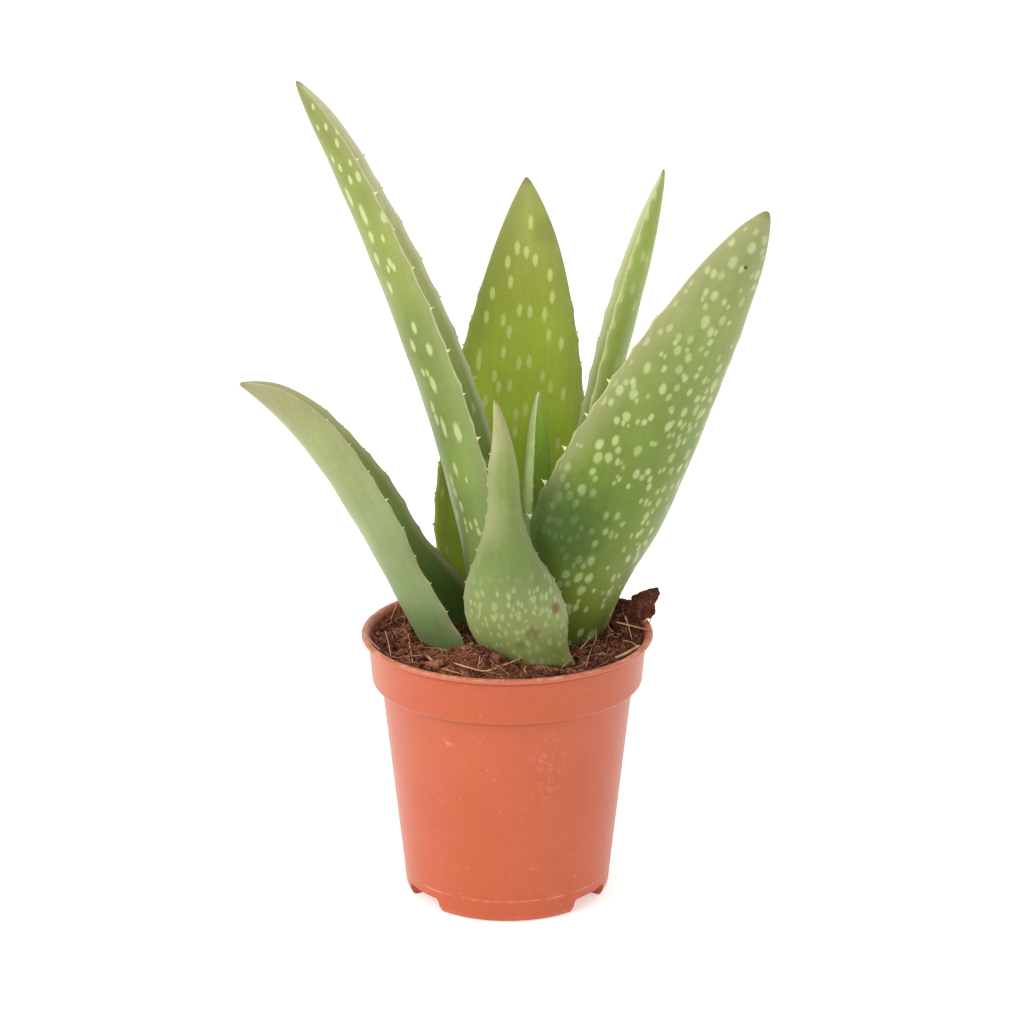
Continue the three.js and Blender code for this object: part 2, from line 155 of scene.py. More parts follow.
def newGroup(name, inputs, outputs):  # an input without a default is a vector
    global tree
    tree = bpy.data.node_groups.new(name, "ShaderNodeTree")
    for label, default in inputs.items():
        kind = "Vector" if default is None else "Color" if isinstance(default, tuple) else "Float"
        socket = tree.interface.new_socket(label, in_out="INPUT", socket_type="NodeSocket" + kind)
        if default is not None:
            socket.default_value = default
    for label, kind in outputs.items():
        tree.interface.new_socket(label, in_out="OUTPUT", socket_type="NodeSocket" + kind)
    return node("NodeGroupInput").outputs, node("NodeGroupOutput").inputs


def newMaterial(name, **constants):
    global tree
    material = bpy.data.materials.new(name)
    material.use_nodes = True
    tree = material.node_tree
    shader = tree.nodes["Principled BSDF"]
    for label, value in constants.items():
        shader.inputs[label.replace("_", " ")].default_value = value
    return material


def wire(color, roughness=None, height=None, bump=(0, 0)):  # bump: strength and distance
    shader = tree.nodes["Principled BSDF"]
    tree.links.new(color, shader.inputs["Base Color"])
    if roughness is not None:
        tree.links.new(roughness, shader.inputs["Roughness"])
    if height is not None:
        relief = node("ShaderNodeBump", {"Strength": bump[0], "Distance": bump[1], "Height": height})
        tree.links.new(relief.outputs[0], shader.inputs["Normal"])


spotPattern = {
    "sway": 1.6, "swayScale": 0.12,  # how far and how finely the rows of spots wander
    "randomness": 0.75, "room": 0.85,  # the most of the room beside its neighbours that a spot takes
    "patchScale": 0.25, "patchRange": (0.36, 0.64), "patchGain": (0.5, 1.5),  # bare and crowded patches
}


def makeSpotGroup(pattern):  # pale oval flecks, each cell of the pattern holding one or none
    given, out = newGroup("leafSpots", {
        "Vector": None, "Cell Width": 4, "Cell Length": 9, "Radius": 0.2, "Spread": 0.4, "Density": 0.5,
        "Softness": 0.06, "Shift": 0}, {"Mask": "Float", "Tone": "Float"})
    scale = node("ShaderNodeCombineXYZ", {
        0: calc("DIVIDE", 1, given["Cell Width"]),
        1: calc("DIVIDE", 1, given["Cell Length"])}).outputs[0]
    wander = node("ShaderNodeTexNoise", {
        "Vector": given["Vector"], "Scale": pattern["swayScale"], "Detail": 2},
        noise_dimensions="2D").outputs[1]
    bent = vectors("MULTIPLY_ADD", wander, (pattern["sway"], pattern["sway"], 0), given["Vector"])
    cells = vectors("MULTIPLY_ADD", bent, scale, given["Shift"])
    inputs = {"Vector": cells, "Scale": 1, "Randomness": pattern["randomness"]}
    nearest = node("ShaderNodeTexVoronoi", inputs, voronoi_dimensions="2D").outputs
    room = node("ShaderNodeTexVoronoi", inputs, voronoi_dimensions="2D",
                feature="N_SPHERE_RADIUS").outputs["Radius"]
    draws = node("ShaderNodeSeparateColor", {0: nearest["Color"]}).outputs
    vary = calc("MULTIPLY_ADD", draws[0], 2, -1)
    size = times(given["Radius"], calc("MULTIPLY_ADD", given["Spread"], vary, 1))
    size = calc("MINIMUM", size, times(room, pattern["room"]))
    patch = grain(nearest["Position"], pattern["patchScale"], 1, flat=True)  # the same all over one spot
    crowd = remap(patch, *pattern["patchRange"], *pattern["patchGain"])
    there = calc("LESS_THAN", draws[1], times(given["Density"], crowd))
    reach = times(size, there)
    mask = remap(nearest["Distance"], calc("SUBTRACT", reach, given["Softness"]),
                 calc("ADD", reach, times(given["Softness"], 0.6)), 1, 0)
    tree.links.new(times(mask, there), out["Mask"])
    tree.links.new(draws[2], out["Tone"])
    return tree


def makeMottleGroup():  # cloudy change of tone, darker and lighter than the colour given
    given, out = newGroup("mottle", {
        "Color": (0.5, 0.5, 0.5, 1), "Vector": None, "Scale": 60, "Amount": 0.2}, {"Color": "Color"})
    cloud = remap(grain(given["Vector"], given["Scale"], 3), 0.3, 0.7, -1, 1)
    gain = calc("MULTIPLY_ADD", cloud, given["Amount"], 1)
    tree.links.new(brighten(given["Color"], gain), out["Color"])
    return tree


spotGroup = makeSpotGroup(spotPattern)
mottleGroup = makeMottleGroup()


# Mesh helpers: everything is shaped in millimetres and scaled once at the end

def close(bm, verts, gap=0.0005):  # seams and poles
    bmesh.ops.remove_doubles(bm, verts=verts, dist=gap)


def sheet(bm, columns, rows, place):  # a grid laid out by place(a, t); gives each vertex its a and t
    made = bmesh.ops.create_grid(bm, x_segments=columns, y_segments=rows, size=0.5)["verts"]
    spots = {vert: (vert.co.x + 0.5, vert.co.y + 0.5) for vert in made}
    for vert, (a, t) in spots.items():
        vert.co = place(a, t)
    return spots


def spun(bm, profile, steps, softEdge=0):  # a closed body from (radius, height) points
    line = [bm.verts.new((r, 0, z)) for r, z in profile]
    for a, b in zip(line, line[1:]):
        bm.edges.new((a, b))
    if softEdge:
        bmesh.ops.bevel(bm, geom=line[1:-1], offset=softEdge, segments=2, profile=0.5, affect="VERTICES",
                        material=-1)
    bmesh.ops.spin(bm, geom=bm.verts[:] + bm.edges[:], axis=(0, 0, 1), cent=(0, 0, 0), angle=fullTurn,
                   steps=steps, use_merge=True)
    close(bm, bm.verts, 0.001)


def tube(bm, path, thickness, around, rows):  # a round strand with closed, tapering ends
    def at(t):
        return Vector([along([p[k] for p in path], t) for k in range(3)])

    def place(a, t):
        ahead = (at(min(t + 0.02, 1)) - at(max(t - 0.02, 0))).normalized()
        aside = ahead.cross(Vector((0, 0, 1)) if abs(ahead.z) < 0.9 else Vector((1, 0, 0))).normalized()
        radius = 0.5 * thickness * sqrt(max(0, 1 - (2 * t - 1) ** 8))
        turn = fullTurn * a
        return at(t) + (aside * cos(turn) + aside.cross(ahead) * sin(turn)) * radius

    close(bm, list(sheet(bm, around, rows, place)))


def applied(piece):  # the mesh that a piece's modifiers make
    mesh = bpy.data.meshes.new_from_object(piece.evaluated_get(bpy.context.evaluated_depsgraph_get()))
    piece.modifiers.clear()
    piece.data = mesh
    return mesh


def linked(name, data):
    made = bpy.data.objects.new(name, data)
    bpy.context.scene.collection.objects.link(made)
    return made


def fromBmesh(bm, name, *materials):
    mesh = bpy.data.meshes.new(name)
    bm.to_mesh(mesh)
    bm.free()
    for material in materials:
        mesh.materials.append(material)
    return linked(name, mesh)


def shrunk(bm):  # to metres, with its faces pointing outwards
    bmesh.ops.recalc_face_normals(bm, faces=bm.faces)
    bmesh.ops.scale(bm, vec=(mm, mm, mm), verts=bm.verts)
    return bm


def addPiece(bm, name, materials, slot, *nodes):
    piece = fromBmesh(shrunk(bm), name, *materials)
    piece.data.shade_smooth()
    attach(piece, "root")
    if nodes:
        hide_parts(*nodes)
    return piece


# Camera, floor and light

stageLook = {
    "cameraPlace": (0.0017, -1.2, 0.526),
    "cameraPitch": 0.309,  # radians below the horizon
    "lens": 124.45, "clip": (0.05, 50),
    "floorSize": 14, "floorColor": "FAFAFA", "floorRoughness": 0.7, "floorGlow": 0.4,
    "worldColor": "FFFFFF", "worldStrength": 0.93,
    "keyPlace": (-1.45, -1.05, 1.05), "keySize": 1.4, "keyPower": 21,
    "fillPlace": (0.4, -1.9, 0.9), "fillSize": 1.2, "fillPower": 2,
    "lightAim": (0, 0, 0.12),
}


def addLight(name, look):
    light = bpy.data.lights.new(name + "Light", "AREA")
    light.shape, light.size, light.energy = "DISK", look[name + "Size"], look[name + "Power"]
    lamp = linked(name + "Light", light)
    lamp.location = look[name + "Place"]
    aim = Vector(look["lightAim"]) - lamp.location
    lamp.rotation_euler = aim.to_track_quat("-Z", "Y").to_euler()


def makeStage(look):
    scene = bpy.context.scene
    camera = linked("camera", bpy.data.cameras.new("camera"))
    camera.data.lens, camera.data.sensor_width = look["lens"], 36
    camera.data.clip_start, camera.data.clip_end = look["clip"]
    camera.location = look["cameraPlace"]
    camera.rotation_euler = (pi / 2 - look["cameraPitch"], 0, 0)
    scene.camera = camera
    bm = bmesh.new()
    bmesh.ops.create_grid(bm, x_segments=2, y_segments=2, size=look["floorSize"] / 2)
    floor = fromBmesh(bm, "floor", newMaterial(
        "paleFloor", Roughness=look["floorRoughness"], Base_Color=paint(look["floorColor"]),
        Emission_Color=paint("FFFFFF"), Emission_Strength=look["floorGlow"]))
    world = bpy.data.worlds.new("studio")
    world.use_nodes = True
    background = world.node_tree.nodes["Background"]
    background.inputs["Color"].default_value = paint(look["worldColor"])
    background.inputs["Strength"].default_value = look["worldStrength"]
    scene.world = world
    addLight("key", look)
    addLight("fill", look)
    scene.view_settings.view_transform = "Standard"


makeStage(stageLook)
print("stage: camera, floor and lights are ready")


# The pot: one profile spun round, with notches cut in its foot

pot = {
    "profile": [  # radius and height
        (0, 5.5), (27.9, 5.5), (27.9, 0), (34.75, 0), (35.9, 0.5), (37.05, 2.75), (37.4, 5.5), (37.65, 8.7),
        (45.35, 79.5), (47.9, 80), (48.7, 81), (50.1, 96.7), (52, 96.7), (52.5, 97.2), (52.5, 97.9),
        (52, 98.4), (50.6, 98.4), (49.6, 97.4), (48.8, 95.4), (47.4, 81.4), (44.05, 79.5), (36.67, 10.1),
        (34.15, 7.1), (0, 7.1)],
    "softEdge": 0.3, "steps": 160, "sharpAngle": 32,
    "notchAngles": (-56, 55, 180), "notchHalfWidth": 9.9, "notchTaper": 0.8, "notchCorner": 1.4,
    "notchReach": (26.9, 50.9), "notchHeight": 5.5, "notchBelow": 2,
    "drainRing": 20, "drainRadius": 4, "drainCount": 3, "drainHeight": 6.3,
}

potLook = {
    "color": "AF502C", "pale": "BA5E3C", "creaseShade": "7A2E1A", "lip": "C67458",
    "scuff": "E0A68E", "speck": "321A14", "roughness": 0.42, "sheen": 0.22,
    # rings of colour: lower and upper height in metres, colour and strength; the dark rings are painted shade
    # in the crease under the lip and under the ledge of the step
    "bands": ((0.0953, 0.0966, "creaseShade", 0.5), (0.0967, 0.099, "lip", 0.3), (0.0788, 0.0805, "creaseShade", 0.5)),
    "wornEdges": ((0.0084, 0.009, 0.4), (0.0979, 0.0986, 0.5)), "smear": 0.3,
    "rubbedPlace": (0.0145, -0.0405, 0.062), "rubbedReach": 0.013, "rubbedAmount": 0.15,
    # specks: scale, share of the cells, size, colour and strength
    "flecks": ((150, 0.02, 0.1, "speck", 0.75), (420, 0.05, 0.18, "scuff", 0.28)),
}


def band(height, low, high, soft=0.0003):  # 1 between two heights, in metres
    return times(remap(height, low - soft, low + soft), remap(height, high - soft, high + soft, 1, 0))


def makePotMaterial(look):
    material = newMaterial("terracottaPlastic", Sheen_Weight=look["sheen"], Sheen_Roughness=0.35,
                           Sheen_Tint=paint("FFE2D4"), Specular_IOR_Level=0.35)
    place = objectPlace()
    height = axisOf(place, 2)
    scuff = paint(look["scuff"])
    cloud = remap(grain(place, 30, 3), 0.35, 0.75, 0, 0.35)
    base = mixColor(cloud, paint(look["color"]), paint(look["pale"]))
    base = mottled(base, place, 500, 0.03)
    # the rings include painted shade in the creases under the lip and under the step's ledge
    for low, high, color, amount in look["bands"]:
        base = mixColor(times(band(height, low, high), amount), base, paint(look[color]))
    worn = remap(grain(vectors("MULTIPLY", place, (1, 1, 3)), 260, 4, 0.7), 0.42, 0.62)
    for low, high, amount in look["wornEdges"]:
        edge = times(band(height, low, high, 0.0002), times(worn, amount))
        base = mixColor(edge, base, scuff)
    smear = remap(grain(vectors("MULTIPLY", place, (1, 1, 1.6)), 95, 5, 0.7), 0.62, 0.74)
    smear = times(smear, remap(grain(place, 26, 1), 0.52, 0.66))
    base = mixColor(times(smear, look["smear"]), base, scuff)
    offset = vectors("SUBTRACT", place, look["rubbedPlace"])
    away = vectors("LENGTH", vectors("MULTIPLY", offset, (1.3, 1, 0.5)))
    near = remap(away, look["rubbedReach"] * 0.2, look["rubbedReach"], look["rubbedAmount"], 0)
    rubbed = times(near, remap(grain(place, 420, 5, 0.7), 0.48, 0.66))
    base = mixColor(rubbed, base, scuff)
    for scale, share, size, color, amount in look["flecks"]:
        dots = specks(place, scale, share, size * 0.5, size, amount)
        base = mixColor(dots, base, paint(look[color]))
    rough = calc("MULTIPLY_ADD", grain(place, 60, 2), 0.5, grain(place, 900, 2))
    wire(base, remap(smear, 0, 1, look["roughness"], 0.6), rough, (0.1, 0.0004))
    return material


def makeCutter(spec):  # the notches in the foot and the drain holes
    cutter = bmesh.new()
    near, far = spec["notchReach"]
    tall = spec["notchHeight"] + spec["notchBelow"]
    for angle in spec["notchAngles"]:
        before = set(cutter.verts)
        made = bmesh.ops.create_cube(cutter, size=1)["verts"]
        bmesh.ops.scale(cutter, vec=(2 * spec["notchHalfWidth"], far - near, tall), verts=made)
        top = [vert for vert in made if vert.co.z > 0]
        for vert in top:
            vert.co.x -= copysign(spec["notchTaper"], vert.co.x)
        bmesh.ops.translate(cutter, vec=(0, -(near + far) / 2, spec["notchHeight"] - tall / 2), verts=made)
        upper = {edge for vert in top for edge in vert.link_edges
                 if edge.other_vert(vert) in top and abs(vert.co.x - edge.other_vert(vert).co.x) < 1}
        bmesh.ops.bevel(cutter, geom=list(upper), offset=spec["notchCorner"], segments=4, profile=0.5,
                        affect="EDGES", material=-1)
        bmesh.ops.rotate(cutter, cent=(0, 0, 0), matrix=Matrix.Rotation(radians(angle), 3, "Z"),
                         verts=[vert for vert in cutter.verts if vert not in before])
    for k in range(spec["drainCount"]):
        turn = fullTurn * k / spec["drainCount"]
        place = (spec["drainRing"] * sin(turn), -spec["drainRing"] * cos(turn), spec["drainHeight"])
        bmesh.ops.create_cone(cutter, cap_ends=True, segments=40, radius1=spec["drainRadius"],
                              radius2=spec["drainRadius"], depth=6, matrix=Matrix.Translation(place))
    return fromBmesh(shrunk(cutter), "cutter")


def makePot(spec):
    bm = bmesh.new()
    spun(bm, spec["profile"], spec["steps"], spec["softEdge"])
    piece = addPiece(bm, "nurseryPot", [makePotMaterial(potLook)], "pot", "pot")
    tool = makeCutter(spec)
    cut = piece.modifiers.new("notches", "BOOLEAN")
    cut.operation, cut.object, cut.solver = "DIFFERENCE", tool, "EXACT"
    mesh = applied(piece)
    bpy.data.objects.remove(tool)
    mesh.shade_smooth()
    mesh.set_sharp_from_angle(angle=radians(spec["sharpAngle"]))


makePot(pot)
print("pot: spun, notched and painted")


# The leaves: one closed skin each, with its hooked teeth

leafShape = {
    "rows": 190, "around": 48,
    "blunt": 40,  # how late the tip closes
    "ease": 1.25,  # rows crowd towards the tip
    "footHeight": 80.3,  # the leaves stand on the stem here
    "waver": 0.35, "waverScale": 14,
    "innerAt": 400,  # the inner face's pattern starts this far from the outer one's
    "marginRise": 1.15, "marginReach": 2.9,  # the skin is drawn out towards each tooth
    "toothLength": 2.5, "toothHeight": 1.35, "toothWidth": 0.95, "toothRoot": 0.8, "toothLean": 0.6,
    "toothFade": 0.45, "toothStagger": 0.35, "toothLevels": (0, 0, 0.2, 0.4, 0.6, 0.8, 0.94, 1),
}

# Each leaf: its line from foot to tip with the widths, thicknesses and turns along it; its teeth from and
# to which part of its length, how far apart and how large; then the colours and spots of its skin. "seen"
# holds the spots that show in the picture: place in a 1024-pixel picture, size, and how much longer.
leaves = [
    {"name": "tallLeftLeaf", "node": "leaf_tall_left", "slot": "leaf", "faces": 176, "twist": (-2, 7),
     "fold": (71, 74),
     "spine": ((-7.5, 9, 76), (-8.9, 9, 160), (-53, 9, 252), (-72.7, 6, 296.8)),
     "widths": (30, 41, 50, 50, 45, 36.5, 27, 6), "thick": (6, 6.5, 6.5, 6, 5.2, 4.4, 3.4, 2.2),
     "teeth": (0.22, 0.86, 16, 0.85),
     "outer": [(0.05, "72864E"), (0.2, "7A8E48"), (0.35, "788C46"), (0.5, "707F3C"), (0.72, "889446"),
         (0.95, "6C7232")],
     "inner": [(0.25, "7C9448"), (0.45, "96A85E"), (0.6, "AAAE72"), (0.75, "C4C08E"), (0.95, "CCC698")],
     "innerMix": 0.9, "rim": "D6D4B4", "bloomAndReflection": ("A8A878", 4, 0.3),
     "line": ("CED096", 0.4), "spot": "C4C892", "cell": (6.2, 14), "radius": 0.19,
     "density": 0.3, "soft": 0.07, "spotMix": 0.66, "shift": 3.3, "seenSize": (0.95, 2.3),
     "seen": ((313, 107, 0.45), (318, 128, 0.55), (326, 127, 0.55), (337.5, 131, 0.55), (337, 143, 0.65),
         (332.5, 159, 0.7), (340, 168, 0.7), (350, 163, 0.6), (350, 180, 0.75), (358, 177, 0.8),
         (349.5, 198, 1, 1.7), (364, 215, 1, 1.7), (384, 217), (371, 237), (383, 238, 0.6), (376, 258),
         (390, 263, 0.7), (394, 268, 0.7), (389, 270, 0.6), (390, 288), (414, 328), (413, 345), (429, 350),
         (423.5, 372, 0.7), (427, 373, 0.7), (434, 385.5, 1.25), (432, 407), (436, 419), (443, 427, 1, 1.6),
         (457, 433, 1.15, 1.4), (455, 469), (467, 480, 0.5), (452, 481), (455, 492), (461, 506), (457, 514),
         (465, 522, 0.7), (471, 526, 0.7), (467, 530, 0.6), (476, 523, 0.6), (479, 532, 0.7))},
    {"name": "backLeaf", "node": "leaf_back", "slot": "leaf_lit", "faces": 91.5, "twist": (0, 1.5),
     "fold": (46, 26),
     "spine": ((3, 33, 76), (-4, 41, 137), (9, 46, 199), (6.9, 48, 254)),
     "widths": (40, 53, 60.5, 57, 49, 38, 24, 4.4), "thick": (5.5, 6.5, 6.5, 6, 5.2, 4.4, 3.4, 2),
     "teeth": (0.2, 0.8, 12.5, 0.8),
     "outer": [(0.05, "7C903A"), (0.3, "84983A"), (0.5, "849636"), (0.75, "7E8C32"), (0.97, "949654")],
     # the inner face's colours are brightened to paint in the light that shines through the leaf
     "inner": [(0.05, "A8C042"), (0.3, "B2C846"), (0.5, "B0C73E"), (0.75, "929E2C"), (0.97, "ACAC5C")],
     "innerMix": 1, "bloomAndReflection": ("848E46", 11, 0.6),
     "line": ("969E5A", 0.3), "spot": "CED682", "cell": (6.2, 12.5), "radius": 0.19,
     "density": 0.5, "spotMix": 0.75, "shift": 7.1, "seenSize": (1, 2.4),
     "seen": ((531, 222), (517, 248), (526, 252), (508, 262), (535, 260), (550, 275), (511, 282), (492, 294),
         (552, 297), (520, 310), (530, 312), (545, 314), (486, 318), (503, 320), (510, 332), (548, 334),
         (561, 344), (503, 352), (479, 360, 1, 1.6), (518, 363), (530, 363), (494, 375), (542, 376),
         (551, 387), (510, 385), (498, 388), (563, 395), (486, 401), (526, 410), (516, 415), (516, 432),
         (558, 444)),
     "patches": (((14, 44, 235), 7, "707A28", 0.45), ((13, 44, 233), 1.3, "B6AC6C", 0.6))},
    {"name": "thinRightLeaf", "node": "leaf_thin_right", "slot": "leaf", "faces": 3, "twist": (2, -3),
     "fold": (70, 68),
     "spine": ((18, 14, 76), (24, 19, 149), (51.5, 23, 223), (55.2, 24, 262.2)),
     "widths": (17, 25, 28, 27.5, 30, 28, 19, 3), "thick": (3.8, 4.4, 4.6, 4.4, 4, 3.4, 2.6, 1.6),
     "teeth": (0.25, 0.8, 13, 0.7),
     "outer": [(0.05, "8CA850"), (0.3, "A8C25A"), (0.55, "A8BB5A"), (0.8, "8EA242"), (0.97, "969E54")],
     "inner": [(0.2, "7E9450"), (0.5, "90A05E"), (0.75, "A4AC70"), (0.95, "B2B482")], "innerMix": 0.8,
     "rim": "D0CEAA", "bloomAndReflection": ("A0A276", 3.5, 0.5),
     "line": ("BEBE88", 0.4), "spot": "B8C284", "cell": (5, 12), "radius": 0.2, "spread": 0.4, "density": 0.5,
     "spotMix": 0.7, "shift": 11.7, "seenSize": (0.9, 2.2),
     "seen": ((654, 194), (647, 214), (638, 239), (643, 257), (647, 261), (630, 263), (633, 289), (621, 297),
         (635, 306), (613, 325), (605, 354), (617, 362), (593, 397))},
    {"name": "broadRightLeaf", "node": "leaf_broad_right", "slot": "leaf", "faces": -51, "twist": (6, -27),
     "fold": (55, 28),
     "spine": ((24, 5.5, 76), (22.7, -5.5, 108.4), (65.5, -20, 212), (89.3, -16, 255.9)),
     "widths": (34, 38, 44, 64, 58, 47, 35, 22, 6), "thick": (6, 7.5, 8, 7.5, 6.8, 6, 5, 4, 2.4),
     "teeth": (0.2, 0.8, 13.2, 1.2),
     # the dark lowest stop paints in shade at the leaf's foot
     "outer": [(0.05, "4C5A22"), (0.28, "667624"), (0.5, "5F781A"), (0.75, "808D4A"), (0.97, "868E5A")],
     "inner": [(0.2, "68803A"), (0.8, "748A42")], "innerMix": 0.5, "bloomAndReflection": ("9A946A", 10, 0.5),
     "line": ("CED096", 0.4), "spot": "B2BC82", "cell": (3.9, 6.2), "radius": 0.34,
     "density": 0.6, "soft": 0.14, "spotMix": 0.75, "shift": 2.2,
     # the first patch is painted shadow of the front leaf on this leaf's foot; the second is a dark speck
     "patches": (((16, -17, 142), 27, "2E4C04", 0.84), ((81.8, -18, 236.7), 0.9, "282414", 0.9))},
    {"name": "lowLeftLeaf", "node": "leaf_low_left", "slot": "leaf_grey", "faces": 169, "twist": (-4.3, 26.3),
     "fold": (83.9, 74.5),
     "spine": ((-17.6, 11, 76), (-38.6, 1.7, 110), (-59.8, -7, 173.3), (-93.1, -14, 194.2)),
     "widths": (22.5, 50, 49, 41.5, 45.3, 42.2, 39, 28.4, 6), "thick": (5, 6.5, 7, 6.5, 6, 5.5, 4.5, 3.5, 2),
     "teeth": (0.16, 0.84, 12.5, 0.6),
     "outer": [(0.05, "5A7040"), (0.35, "728450"), (0.6, "84905C"), (0.8, "898F5A"), (0.97, "88845C")],
     "inner": [(0.2, "6A863C"), (0.45, "829852"), (0.65, "9CA666"), (0.85, "C4BE90")], "innerMix": 0.85,
     "rim": "C8C298", "bloomAndReflection": ("9C9A78", 4, 0.3),
     "line": ("B8BA78", 0.4), "spot": "A4AE6E", "cell": (6, 12), "radius": 0.14, "spread": 0.4,
     "density": 0.1, "spotMix": 0.35, "shift": 4.9},
    {"name": "frontLeaf", "node": "leaf_front", "slot": "leaf_grey", "faces": -86, "twist": (-14.1, 24),
     "fold": (57.7, 51),
     "spine": ((17.7, -14.5, 76), (-9.5, -36.3, 113.5), (5.1, -30.5, 162.6), (-4.5, -25.5, 191.8)),
     "widths": (29.9, 30.6, 40.3, 36.7, 22.5, 13.3, 11.7, 6.4, 1.4),
     "thick": (4.5, 5.5, 6.5, 6, 5.5, 5, 4, 3, 1.4), "teeth": (0.2, 0.86, 6.5, 0.7),
     "outer": [(0.05, "909C4C"), (0.28, "869156"), (0.5, "5A6F32"), (0.75, "76883C"), (0.97, "A0A06C")],
     "inner": [(0.2, "607436"), (0.8, "687A3E")], "innerMix": 0.4, "bloomAndReflection": ("94926C", 5, 0.5),
     "line": ("BABE84", 0.35), "spot": "B4BE8E", "cell": (2.5, 5), "radius": 0.32,
     "density": 0.75, "soft": 0.18, "spotMix": 0.55, "shift": 8.4, "spotsUntil": (0.36, 0.46),
     # patches: two pale hazes of waxy bloom, partly painted reflection; then a brown scar and two dark
     # smudges
     "patches": (((-9, -27.6, 176), 9, "B0AE82", 0.4), ((-8, -31, 150), 12, "96966C", 0.4),
         ((17, -24.7, 115.3), 2.7, "704A30", 0.85), ((9, -29, 107.4), 3.6, "62522C", 0.6),
         ((4.5, -29, 103), 2.6, "585A28", 0.45))},
    {"name": "innerLeaf", "node": "leaf_inner", "slot": "leaf", "faces": 159, "twist": (0, -4),
     "fold": (65, 60),
     "spine": ((7, 9, 76), (6.8, 8, 128.5), (7.1, 8, 166.7), (11.2, 8, 185.1)),
     "widths": (15, 17.5, 18, 17.5, 19.5, 16.5, 10, 1.8), "thick": (3.5, 3.5, 3.5, 3.4, 3.2, 2.8, 2.2, 1.3),
     "teeth": (0.3, 0.85, 7, 0.45),
     # these colours are brightened to paint in the light that the leaves around it shut out
     "outer": [(0.05, "AAC870"), (0.4, "C0D884"), (0.7, "B2C47E"), (0.9, "96A468"), (0.99, "CECEB4")],
     "inner": [(0.2, "B2D64A"), (0.8, "B2D64A")], "innerMix": 0.85, "bloomAndReflection": ("7E8A56", 2, 0.3),
     "line": ("BEC492", 0.3), "spot": "B2BE82", "cell": (4, 8.5), "radius": 0.24,
     "density": 0.5, "spotMix": 0.7, "shift": 6.6, "tip": "CECEBC", "seenSize": (0.7, 1.6),
     "seen": ((531, 445), (537, 449), (525.5, 475), (532, 477), (533, 492), (545, 463))},
]

leafSkin = {  # what the leaves share, unless a leaf has a value of its own
    "sheen": 0.22, "specular": 0.27, "roughness": (0.36, 0.5), "bump": (0.12, 0.0004),
    "cloudScale": 26, "cloudShift": 0.2,  # the colours along a leaf come sooner or later by this
    "streaks": 0.035, "mottles": ((48, 0.07), (700, 0.035)),
    # how far in from the margins and how strongly the painted rim light reaches
    "rimLightReach": (0.3, 3), "rimLightMix": 0.6,
    "spread": 0.3, "soft": 0.1,
    "spotSets": ((1, 1), (0.74, 0.4)),  # size and density of the two sets of random spots
    "spotMargin": (0.8, 2.2), "lineMix": 0.5,
    "dust": "E2E4C4", "tip": "80744C", "tipMix": 0.7,
    "tooth": [(0, "B0B870"), (0.4, "CED092"), (0.8, "D8D6A0"), (1, "CEC494")],
}


def spotMask(look, place, surface, rise, edge, seen):
    wide, long = look["cell"]
    masks = []
    for k, (size, crowd) in enumerate(look["spotSets"]):
        spots = node("ShaderNodeGroup", {
            "Vector": surface, "Cell Width": wide * size, "Cell Length": long * size,
            "Radius": look["radius"], "Spread": look["spread"], "Density": look["density"] * crowd,
            "Softness": look["soft"], "Shift": look["shift"] + 17.3 * k}, node_tree=spotGroup).outputs
        masks.append(times(spots["Mask"], remap(spots["Tone"], 0, 1, 0.65, 1)))
    spotted = times(calc("MAXIMUM", *masks), look["spotMix"])
    spotted = times(spotted, remap(edge, *look["spotMargin"]))
    if "spotsUntil" in look:
        spotted = times(spotted, remap(rise, *look["spotsUntil"], 1, 0.05))
    if not seen:
        return spotted
    nearest = 9  # the spots that the picture shows take the place of random ones on that face
    for (u, v), (halfWide, halfLong) in seen:
        away = vectors("MULTIPLY_ADD", surface, (1 / halfWide, 1 / halfLong, 0),
                       (-u / halfWide, -v / halfLong, 0))
        nearest = calc("MINIMUM", vectors("LENGTH", away), nearest)
    ragged = calc("MULTIPLY_ADD", grain(place, 420, 2), 0.7, nearest)
    picked = remap(ragged, 1, 1.65, look["spotMix"], 0)
    across = axisOf(surface, 0)
    middle = leafShape["innerAt"] / 2
    face = [u for (u, _), _ in seen if (u > middle) == (seen[0][0][0] > middle)]
    low, high = min(face) - 5, max(face) + 5
    hidden = calc("MAXIMUM", remap(across, low - 3, low, 1, 0), remap(across, high, high + 3))
    return calc("MAXIMUM", picked, times(spotted, hidden))


